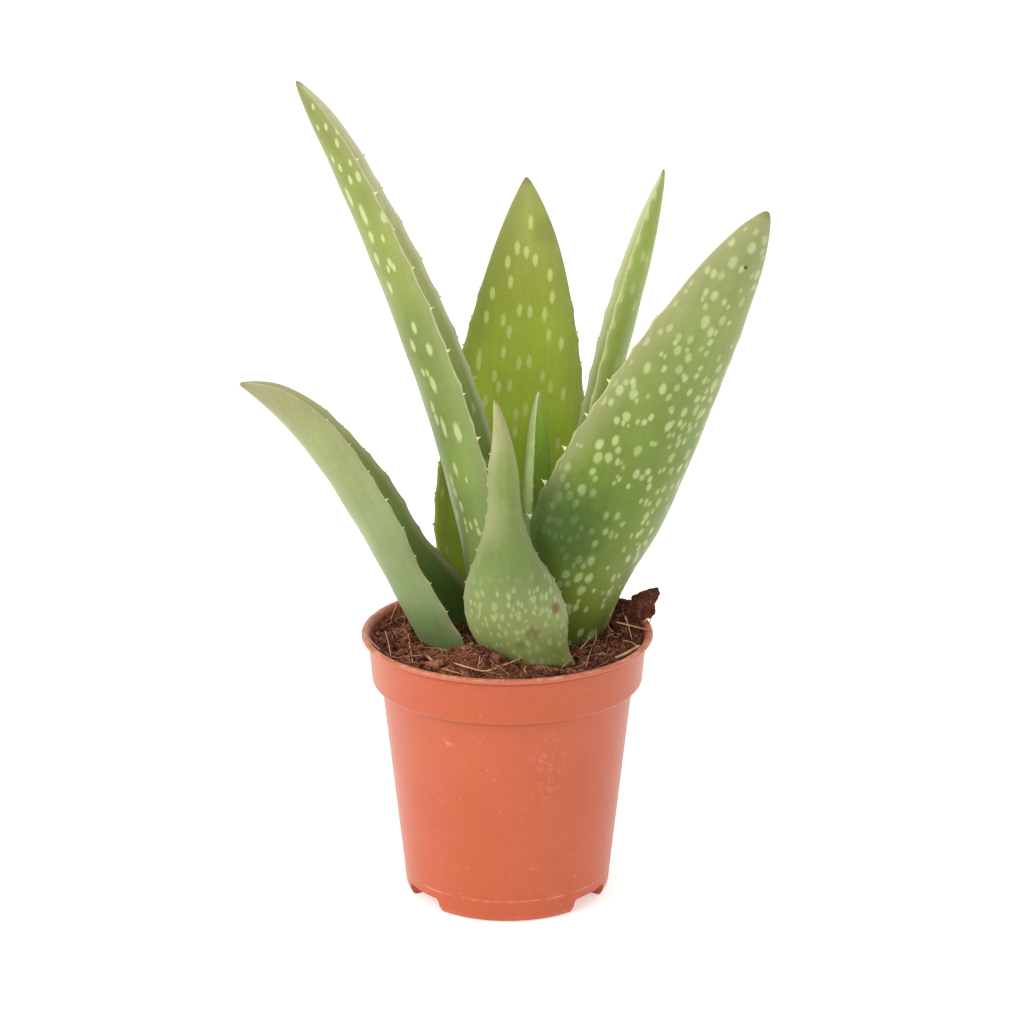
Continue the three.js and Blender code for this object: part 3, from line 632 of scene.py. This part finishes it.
def makeLeafMaterial(look, seen):
    material = newMaterial(
        look["name"] + "Skin", Sheen_Weight=look["sheen"], Sheen_Roughness=0.4, Sheen_Tint=paint("F6F4CE"),
        Specular_IOR_Level=look["specular"])
    place = objectPlace()
    surface = node("ShaderNodeUVMap", uv_map="leafUV").outputs[0]  # millimetres across and along the leaf
    rise, edge, side = (attribute(name) for name in ("rise", "edge", "side"))
    cloud = calc("SUBTRACT", grain(place, look["cloudScale"], 2), 0.5)
    color = ramp(calc("MULTIPLY_ADD", cloud, look["cloudShift"], rise), look["outer"])
    isInner = remap(side, -0.2, 0.2)
    color = mixColor(times(isInner, look["innerMix"]), color, ramp(rise, look["inner"]))
    streak = grain(vectors("MULTIPLY", surface, (0.4, 0.02, 1)), 1, 3, 0.6, flat=True)
    color = brighten(color, remap(streak, 0.3, 0.7, 1 - look["streaks"], 1 + look["streaks"]))
    for scale, amount in look["mottles"]:
        color = mottled(color, place, scale, amount)
    # paler towards the margins: the skin's waxy bloom, partly painted reflection of light glancing off the
    # margins
    shade, reach, amount = look["bloomAndReflection"]
    color = mixColor(times(remap(edge, 0, reach, 1, 0), amount), color, paint(shade))
    # painted rim light: the inner face is paler along the margins, as if lit from behind
    if "rim" in look:
        paintedRimLight = times(isInner, remap(edge, *look["rimLightReach"], look["rimLightMix"], 0))
        color = mixColor(paintedRimLight, color, paint(look["rim"]))
    spotted = spotMask(look, place, surface, rise, edge, seen)
    color = mixColor(spotted, color, paint(look["spot"]))
    shade, width = look["line"]
    width = times(remap(grain(place, 160, 1), 0.3, 0.7, 0.7, 1.3), width)
    line = remap(edge, times(width, 0.4), times(width, 1.5), look["lineMix"], 0)
    color = mixColor(line, color, paint(shade))
    color = mixColor(specks(place, 130, 0.02, 0.03, 0.07, 0.7), color, paint(look["dust"]))
    for centre, reach, tint, amount in look.get("patches", ()):
        away = vectors("DISTANCE", place, [c * mm for c in centre])
        ragged = calc("MULTIPLY_ADD", grain(place, 260, 3), 0.5 * reach * mm, away)
        patch = remap(ragged, 0.5 * reach * mm, 1.4 * reach * mm, amount, 0)
        color = mixColor(patch, color, paint(tint))
    tip = remap(rise, 0.975, 0.995, 0, look["tipMix"])
    color = mixColor(tip, color, paint(look["tip"]))
    height = calc("MULTIPLY_ADD", grain(place, 120, 3), 1.2, times(grain(place, 1600, 2, 0.6), 0.3))
    roughness = remap(grain(place, 45, 3), 0.3, 0.7, *look["roughness"])
    wire(color, roughness, height, look["bump"])
    return material


def makeToothMaterial(look):
    material = newMaterial("leafTooth", Roughness=0.4)
    point = times(attribute("edge"), -1)  # 0 at the root, 1 at the point
    wire(mottled(ramp(point, look["tooth"]), objectPlace(), 500, 0.08))
    return material


toothMaterial = makeToothMaterial(leafSkin)


def leafFrame(leaf, t):  # the leaf's middle, its directions and its size at this part of its length
    a, b, c, d = (Vector(p) for p in leaf["spine"])
    u = 1 - t
    centre = a * u ** 3 + b * (3 * u * u * t) + c * (3 * u * t * t) + d * t ** 3
    ahead = ((b - a) * (3 * u * u) + (c - b) * (6 * u * t) + (d - c) * (3 * t * t)).normalized()
    turn = radians(leaf["faces"])
    across = Vector((-sin(turn), cos(turn), 0))
    across = (across - ahead * across.dot(ahead)).normalized()
    across = Matrix.Rotation(radians(lerp(*leaf["twist"], t)), 3, ahead) @ across
    closing = sqrt(max(0, 1 - t ** leafShape["blunt"]))
    return {"t": t, "centre": centre, "ahead": ahead, "across": across, "inward": ahead.cross(across),
            "fold": radians(lerp(*leaf["fold"], t)),
            "width": along(leaf["widths"], t) * closing, "thick": along(leaf["thick"], t) * closing}


def marginOut(at, margin):
    return at["across"] * (cos(at["fold"]) * margin) + at["inward"] * sin(at["fold"])


def skinPoint(at, s, side, rise=0):
    radius = at["width"] / (2 * at["fold"])
    half = side * 0.5 * at["thick"] * sqrt(max(0, 1 - s * s))
    angle = s * at["fold"]
    point = at["centre"] + at["across"] * ((radius - half) * sin(angle))
    point = point + at["inward"] * (radius - (radius - half) * cos(angle))
    return point + marginOut(at, copysign(1, s)) * (rise * abs(s) ** 12)


def toothPlaces(leaf, length):
    start, end, pitch, size = leaf["teeth"]
    count = round((end - start) * length / pitch)
    draw = random.Random(leaf["name"])
    for i in range(count + 1):
        for margin in (-1, 1):
            shift = leafShape["toothStagger"] if margin > 0 else 0
            t = start + (end - start) * (i + shift) / (count + 1)
            yield t, margin, size * (1 - leafShape["toothFade"] * t) * draw.uniform(0.85, 1.15)


def addTooth(bm, leaf, t, margin, size, edgeLayer):
    at = leafFrame(leaf, t)
    out, ahead = marginOut(at, margin), at["ahead"]
    flat = ahead.cross(out).normalized()
    root = skinPoint(at, margin, 0, leafShape["marginRise"] * size) - out * leafShape["toothRoot"]
    height = leafShape["toothHeight"] * size
    tall = leafShape["toothRoot"] + height
    levels = leafShape["toothLevels"]
    last = len(levels) - 1

    def place(a, t):
        row = round(t * last)
        h = levels[row]
        girth = 0 if row in (0, last) else (1 - h) ** 1.9 + 0.06
        turn = fullTurn * a
        return root + out * (h * tall) + ahead * (leafShape["toothLean"] * h * h * height) \
            + ahead * (cos(turn) * girth * leafShape["toothLength"] * size / 2) \
            + flat * (sin(turn) * girth ** 0.8 * leafShape["toothWidth"] * size / 2)

    before = set(bm.faces)
    spots = sheet(bm, 8, last, place)
    for vert, (_, level) in spots.items():
        vert[edgeLayer] = -levels[round(level * last)]
    for face in set(bm.faces) - before:
        face.material_index = 1
    close(bm, list(spots))


def pixelRay(px, py):  # the camera's eye and its view through a spot of a 1024-pixel picture
    pitch, focal = stageLook["cameraPitch"], stageLook["lens"] / 36 * 1024
    ray = Vector(((px - 512) / focal, cos(pitch) + sin(pitch) * (512 - py) / focal,
                  -sin(pitch) + cos(pitch) * (512 - py) / focal))
    return Vector(stageLook["cameraPlace"]) / mm, ray


def seenSpots(bm, uvLayer, leaf):  # places in the leaf's own millimetres, with half sizes
    if "seen" not in leaf:
        return []
    bm.faces.ensure_lookup_table()
    skin = BVHTree.FromBMesh(bm)
    halfWide, halfLong = leaf["seenSize"]
    found = []
    for px, py, *sizes in leaf["seen"]:
        spot, _, index, _ = skin.ray_cast(*pixelRay(px, py))
        if spot is None or bm.faces[index].material_index == 1:
            continue
        loops = bm.faces[index].loops
        weights = [1 / ((loop.vert.co - spot).length_squared + 0.01) for loop in loops]
        near = [sum(w * loop[uvLayer].uv[k] for w, loop in zip(weights, loops)) / sum(weights)
                for k in (0, 1)]
        size, longer = (*sizes, 1, 1)[:2]
        found.append((near, (halfWide * size, halfLong * size * longer)))
    return found


def makeLeaf(leaf):
    rows, around = leafShape["rows"], leafShape["around"]
    frames = [leafFrame(leaf, 1 - (1 - k / rows) ** leafShape["ease"]) for k in range(rows + 1)]
    lengths = [0]
    for a, b in zip(frames, frames[1:]):
        lengths.append(lengths[-1] + (b["centre"] - a["centre"]).length)
    total = lengths[-1]
    teeth = list(toothPlaces(leaf, total))
    bm = bmesh.new()
    uvLayer = bm.loops.layers.uv.new("leafUV")
    edgeLayer, sideLayer, riseLayer = (bm.verts.layers.float.new(name) for name in ("edge", "side", "rise"))
    seed = Vector((len(leaf["name"]) * 3.7, leaf["faces"], 0))
    rises = {}  # how far the skin is drawn out at each row of each margin
    for margin in (-1, 1):
        for k in range(rows + 1):
            rises[margin, k] = 0
            for t, which, size in teeth:
                if which == margin:
                    gap = abs(lengths[k] - t * total) / (leafShape["marginReach"] * sqrt(size))
                    near = leafShape["marginRise"] * size * exp(-gap)
                    rises[margin, k] = max(rises[margin, k], near)

    def across(a):
        return sin(pi * (min(2 * a, 2 - 2 * a) - 0.5)), -1 if a < 0.5 else 1

    def place(a, level):
        k = round(level * rows)
        s, side = across(a)
        point = skinPoint(frames[k], s, side, rises[(1 if s > 0 else -1), k])
        push = noise.noise((point + seed) / leafShape["waverScale"]) * leafShape["waver"]
        return point + frames[k]["inward"] * (push * min(1, frames[k]["width"] / 20))

    spots = sheet(bm, around, rows, place)
    for vert, (a, level) in spots.items():
        at = frames[round(level * rows)]
        s, side = across(a)
        vert[edgeLayer] = (1 - abs(s)) * at["width"] / 2
        vert[sideLayer] = side * sqrt(max(0, 1 - s * s))
        vert[riseLayer] = at["t"]
    for face in bm.faces:
        middle = sum(spots[vert][0] for vert in face.verts) / len(face.verts)
        offset = 0 if middle < 0.5 else leafShape["innerAt"]
        for loop in face.loops:
            a, level = spots[loop.vert]
            k = round(level * rows)
            loop[uvLayer].uv = (across(a)[0] * frames[k]["width"] / 2 + offset, lengths[k])
    close(bm, list(spots))
    bmesh.ops.bisect_plane(bm, geom=bm.verts[:] + bm.edges[:] + bm.faces[:], clear_inner=True,
                           plane_co=(0, 0, leafShape["footHeight"]), plane_no=(0, 0, 1))
    bmesh.ops.holes_fill(bm, edges=[edge for edge in bm.edges if edge.is_boundary], sides=0)
    for t, margin, size in teeth:
        addTooth(bm, leaf, t, margin, size, edgeLayer)
    skin = makeLeafMaterial({**leafSkin, **leaf}, seenSpots(bm, uvLayer, leaf))
    return addPiece(bm, leaf["name"], [skin, toothMaterial], leaf["slot"], leaf["node"])


leafPieces = [makeLeaf(leaf) for leaf in leaves]
print("leaves:", ", ".join(piece.name for piece in leafPieces))


verts, faces = [], []
for piece in leafPieces:
    start = len(verts)
    verts += [vert.co / mm for vert in piece.data.vertices]
    faces += [[start + i for i in polygon.vertices] for polygon in piece.data.polygons]
leafTree = BVHTree.FromPolygons(verts, faces)  # to find the leaf nearest to a place, in millimetres


def nearLeaf(point, room):  # true where a point is inside a leaf or closer to it than room
    spot, normal, _, distance = leafTree.find_nearest(point)
    return spot is not None and (distance < room or (distance < 8 and (point - spot).dot(normal) < 0))


# The coir: a lumpy bed, loose crumbs and fibres

soil = {
    "level": 95, "edgeRise": 1.6, "lump": 0.8, "wall": ((33.8, 7.4), (36.3, 10.4), (43.7, 79.6), (47, 81.9)),
    "bandInside": (47.4, 48.8), "bandHeights": (81.4, 95.4), "clear": 0.4, "steps": 420, "rings": 70,
    # heaps and hollows: place, height and spread
    "heaps": ((37, 18, 7.5, 12), (-11, -27, 6, 10), (-43, 10, -2.2, 6), (-38, -10, -2.4, 5),
              (20, -23, -3, 11)),
    "lumps": ((5.2, 1.5), (2.3, 1.3), (1, 0.6)),  # size and height of the crumbs in the bed
    "dip": 1, "dipReach": 3,  # the bed sinks a little beside each leaf
    # loose crumbs: how many, their sizes and how finely they are cut; then where they lie and their tone
    "crumbs": ((2600, (0.3, 1), 1), (260, (0.9, 2.1), 2)),
    "crumbReach": 47, "crumbCentre": 0.12, "crumbRim": 48.6, "crumbTone": (0.55, 0.28), "crumbRough": 0.9,
}

# the coir's darker right side is painted shadow of the leaves
soilLook = {"dark": "1E0E09", "color": "663826", "light": "AA7254", "fibre": "D8A270",
            "leafShadowLeftToRight": (1.15, 0.8)}  # the coir is a little darker at the right


def soilHeight(x, y):  # the same top as the solid's
    r = hypot(x, y) / soil["bandInside"][0]
    lumps = sin(0.61 * x + 1.3) * sin(0.53 * y + 0.4) + 0.6 * sin(1.07 * x - 0.8 * y) \
        + 0.5 * sin(0.9 * x + 1.31 * y + 2)
    z = soil["level"] + soil["edgeRise"] * r ** 4 + soil["lump"] * lumps * (1 - 0.5 * r)
    for hx, hy, height, spread in soil["heaps"]:
        z += height * exp(-((x - hx) ** 2 + (y - hy) ** 2) / spread ** 2)
    return z


def bandRadius(z):
    low, high = soil["bandHeights"]
    return lerp(*soil["bandInside"], (z - low) / (high - low))


def crumbly(x, y):  # the crumbs' own height over the bed
    z = -0.5
    for size, height in soil["lumps"]:
        here = Vector((x / size, y / size, size * 7.3))
        z += height * (0.45 - 1.6 * abs(noise.noise(here))) + 0.3 * height * noise.noise(here * 2.3)
    return z


def scatter(draw, reach, centre):  # a chance place on the bed, with fewer in the middle
    turn, far = draw.uniform(0, fullTurn), reach * sqrt(draw.uniform(centre, 1))
    return far * cos(turn), far * sin(turn)


def makeCoirMaterial(name, scale, toneShare):
    material = newMaterial(name, Roughness=0.9, Specular_IOR_Level=0.2)
    place = objectPlace()
    dark, plain, light = (soilLook[key] for key in ("dark", "color", "light"))
    color = ramp(grain(place, scale, 5, 0.7), [(0.25, dark), (0.42, plain), (0.58, plain), (0.74, light)])
    tones = ramp(attribute("tone"), [(0, dark), (0.35, plain), (0.65, plain), (1, light)])
    color = mixColor(toneShare, color, tones)
    # painted shade in the hollows of the bed
    color = mixColor(attribute("hollowShade"), color, paint(dark))
    threads = grain(vectors("MULTIPLY", place, (1, 0.35, 1)), 1500, 3, 0.7)
    # painted shadow of the leaves: the coir darkens towards the right
    paintedLeafShadow = remap(axisOf(place, 0), -0.03, 0.045, *soilLook["leafShadowLeftToRight"])
    color = brighten(color, times(remap(threads, 0.35, 0.65, 0.55, 1.4), paintedLeafShadow))
    wire(color, None, calc("ADD", threads, grain(place, 900, 4, 0.7)), (0.8, 0.0006))
    return material


def makeSoil():
    bm = bmesh.new()
    toneLayer = bm.verts.layers.float.new("tone")
    hollowShadeLayer = bm.verts.layers.float.new("hollowShade")
    rings, rim = soil["rings"], soil["bandInside"][0] - soil["clear"]
    profile = [(0, soil["wall"][0][1]), *soil["wall"]]
    spun(bm, profile + [(rim * sqrt(1 - k / rings), 90) for k in range(rings + 1)], soil["steps"])
    for vert in bm.verts:
        if vert.co.z < 89:
            continue
        x, y = vert.co.x, vert.co.y
        bed, rough = soilHeight(x, y), crumbly(x, y)
        away = leafTree.find_nearest(Vector((x, y, bed)))[3]
        z = bed + rough - soil["dip"] * clamp(1 - away / soil["dipReach"])
        spread = (bandRadius(min(z, 96.7)) - soil["clear"]) / rim
        vert.co = Vector((x * spread, y * spread, z))
        vert[toneLayer] = clamp(0.5 + 0.25 * rough + 0.5 * noise.noise(Vector((x, y, 3)) / 1.4))
        # painted shade: the lowest places between the crumbs are darkened
        vert[hollowShadeLayer] = clamp(-0.2 - 0.6 * (rough + 0.7))
    addPiece(bm, "coirBed", [makeCoirMaterial("coir", 420, 0.5)], "soil", "soil")


def makeCrumbs():
    draw = random.Random(11)
    bm = bmesh.new()
    toneLayer = bm.verts.layers.float.new("tone")
    for count, sizes, detail in soil["crumbs"]:
        for _ in range(count):
            x, y = scatter(draw, soil["crumbReach"], soil["crumbCentre"])
            size = lerp(*sizes, draw.random() ** 2.2)
            lift = draw.uniform(-0.3, 0.4) * size
            turn = Matrix.Rotation(draw.uniform(0, 6.28), 4, "Z")
            turn = turn @ Matrix.Rotation(draw.uniform(-0.8, 0.8), 4, "X")
            shape = Matrix.Diagonal((size * draw.uniform(0.7, 2), size, size * draw.uniform(0.4, 0.9), 1))
            tone = clamp(draw.gauss(*soil["crumbTone"]))
            place = Vector((x, y, soilHeight(x, y) + crumbly(x, y) + lift))
            if nearLeaf(place, size * 1.1) or hypot(x, y) + size > soil["crumbRim"]:
                continue
            made = bmesh.ops.create_icosphere(bm, subdivisions=detail, radius=1,
                                              matrix=Matrix.Translation(place) @ turn @ shape)["verts"]
            for vert in made:
                vert.co += (vert.co - place) * noise.noise(vert.co * (1.3 / size)) * soil["crumbRough"]
                vert[toneLayer] = tone
    addPiece(bm, "coirCrumbs", [makeCoirMaterial("coirCrumb", 700, 0.6)], "soil")


fibres = {
    "count": 520, "length": (4, 16), "thickness": (0.1, 0.22), "lift": (0.1, 1.4), "bend": 1.5,
    "reach": 45, "centre": 0.1, "rim": 47.4, "tone": (0.35, 0.25),
    # single straws: places seen in the picture with their lift over the bed, then thickness and tone
    "straws": (
        (((451, 662, 2), (470, 668, 1.7), (487, 671, 1.6), (507, 664, 1.8), (526, 656, 2.4)), 0.55, 0),
        (((395, 598, 1.5), (396, 606, 1.2), (392, 616, 1), (390, 625, 0.4)), 0.3, 0.1),
        (((385, 630, 2.2), (388, 641, 1.6), (391, 657, 0.8)), 0.35, 0.05),
        (((391, 656, 0.8), (398, 658, 0.7), (405, 656, 0.8), (411, 661, 0.4)), 0.3, 0.1),
        (((408, 632, 1.6), (409, 642, 1.4), (411, 652, 1), (413, 664, 0.4)), 0.35, 0.1),
        (((368, 637, 1.2), (373, 643, 1.1), (380, 650, 0.9)), 0.35, 0.15),
        (((447, 650, 1), (453, 648.6, 1.3), (460, 648, 1.4), (467, 649, 1.2), (474, 652, 0.6)), 0.4, 0.05),
        (((466, 632, 3), (471, 641, 1.8), (478, 648, 1), (483, 653, 0.4)), 0.35, 0.2),
        (((480, 655, 1.8), (479, 663, 1), (477, 671, 0.6)), 0.28, 0.2),
        (((425, 655, 0.7), (434, 662, 0.9), (438, 668, 0.4)), 1, 0.45),
        (((430, 664, 0.7), (440, 668, 0.6), (462, 674, 0.5)), 0.4, 0.3),
        (((616, 622, 2.4), (634, 626.5, 1.6), (651, 631, 0.9)), 0.6, 0),
        (((609, 661, 0.8), (625, 654, 0.9), (641, 645, 1)), 1.2, 0.3),
        (((561, 669, 0.8), (572, 657, 1.6), (583, 646, 2), (592, 635, 2.2)), 0.35, 0.1),
        (((586, 668, 0.5), (590, 652, 1.8), (596, 638, 2.4), (595, 625, 2.6)), 0.28, 0.15),
        (((625, 615, 3), (629, 628, 2.2), (632, 640, 0.8)), 0.3, 0.2),
        (((610, 613, 3.2), (608, 625, 2.4), (614, 633, 1.2)), 0.3, 0.15),
        (((600, 619, 0.5), (599.6, 615, 1.8), (600.6, 611, 3.2)), 0.7, 0),
        (((525, 673, 0.2), (524.6, 669, 1.2), (525.6, 666, 2.2)), 0.5, 0.1),
        (((622, 640, 1), (633, 643, 1), (640, 650, 0.6)), 0.35, 0.15),
        (((644, 622, 1.2), (647, 618.5, 1.6), (650, 619, 1.8), (650, 622, 1.4), (647, 623, 1)), 0.5, 0),
    ),
}


def onBed(px, py, lift):  # the place over the bed that the camera sees at this spot of a 1024-pixel picture
    eye, ray = pixelRay(px, py)
    z = 97
    for _ in range(4):
        spot = eye + ray * ((z - eye.z) / ray.z)
        z = soilHeight(spot.x, spot.y) + 0.5 * crumbly(spot.x, spot.y) + lift
    return spot


def makeFibreMaterial():
    material = newMaterial("coirFibre", Roughness=0.6, Sheen_Weight=0.1)
    shade = mixColor(attribute("tone"), paint(soilLook["fibre"]), paint(soilLook["color"]))
    wire(mottled(shade, objectPlace(), 260, 0.2))
    return material


def makeFibres(spec):
    draw = random.Random(23)
    bm = bmesh.new()
    toneLayer = bm.verts.layers.float.new("tone")

    def lay(path, thickness, tone, around, rows):
        before = len(bm.verts)
        tube(bm, path, thickness, around, rows)
        bm.verts.ensure_lookup_table()
        for vert in bm.verts[before:]:
            vert[toneLayer] = tone

    laid = 0
    for _ in range(spec["count"]):
        x, y = scatter(draw, spec["reach"], spec["centre"])
        heading, length = draw.uniform(0, fullTurn), lerp(*spec["length"], draw.random() ** 1.6)
        bend, lift = draw.uniform(-spec["bend"], spec["bend"]), lerp(*spec["lift"], draw.random())
        thickness, tone = lerp(*spec["thickness"], draw.random() ** 1.5), clamp(draw.gauss(*spec["tone"]))
        path = []
        for k in range(6):
            hop = lift * sin(pi * k / 5) + draw.uniform(-0.3, 0.4)
            path.append(Vector((x, y, soilHeight(x, y) + crumbly(x, y) * 0.5 + 0.2 + hop)))
            heading += bend / 5 + draw.uniform(-0.15, 0.15)
            x, y = x + cos(heading) * length / 5, y + sin(heading) * length / 5
        if not any(nearLeaf(p, 0.5) or hypot(p.x, p.y) > spec["rim"] for p in path):
            lay(path, thickness, tone, 4, 10)
            laid += 1
    for path, thickness, tone in spec["straws"]:
        lay([onBed(*place) for place in path], thickness, tone, 6, 14)
    print("fibres laid:", laid)
    addPiece(bm, "coirFibres", [makeFibreMaterial()], "soil")


makeSoil()
makeCrumbs()
makeFibres(fibres)
print("soil: bed, crumbs and fibres are in")


# The torn flake of husk at the right

husk = {
    "place": (42, 10.2, 88), "thickness": 3.6, "voxel": 0.4, "rough": 0.7,
    "outline": ((-0.5, 0), (0.4, 9), (1.4, 15), (3.4, 18.8), (5.9, 20.2), (8.2, 21.1), (10.3, 21.4),
                (12.6, 22), (13.2, 20.1), (12, 17.7), (11.2, 15.8), (11.6, 14.3), (11, 12.1),
                (10.2, 10.9), (5, 10.8), (3.6, 6), (3, 0)),
}


def makeHusk(spec):
    bm = bmesh.new()
    face = bm.faces.new([bm.verts.new((x, 0, y)) for x, y in spec["outline"]])
    made = bmesh.ops.extrude_face_region(bm, geom=[face])["geom"]
    back = [part for part in made if isinstance(part, bmesh.types.BMVert)]
    bmesh.ops.translate(bm, vec=(0, spec["thickness"], 0), verts=back)
    bmesh.ops.translate(bm, vec=Vector(spec["place"]), verts=bm.verts)
    piece = addPiece(bm, "huskChip", [makeCoirMaterial("husk", 300, 0)], "husk", "husk_chip")
    remesh = piece.modifiers.new("fine", "REMESH")
    remesh.mode, remesh.voxel_size = "VOXEL", spec["voxel"] * mm
    mesh = applied(piece)
    for vert in mesh.vertices:
        point = vert.co / mm
        push = noise.noise(point / 2.6) * spec["rough"] + noise.noise(point / 1.1) * spec["rough"] * 0.5
        vert.co += vert.normal * (push * mm)
    mesh.shade_smooth()


makeHusk(husk)
print("husk chip: torn and roughened")


# The stem and its roots, hidden in the soil, keep their solid

stemLook = {"stops": [(0.25, "967854"), (0.5, "C4B084"), (0.75, "D8CAA4")], "roughness": 0.8}


def makeStemMaterial(look):
    material = newMaterial("paleStem", Roughness=look["roughness"])
    place = objectPlace()
    lines = grain(vectors("MULTIPLY", place, (1, 1, 3)), 120, 4)
    wire(ramp(lines, look["stops"]), None, grain(place, 600, 3), (0.4, 0.0005))
    return material


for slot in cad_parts["stem_and_roots"].material_slots:
    slot.material = makeStemMaterial(stemLook)
print("stem and roots: painted")
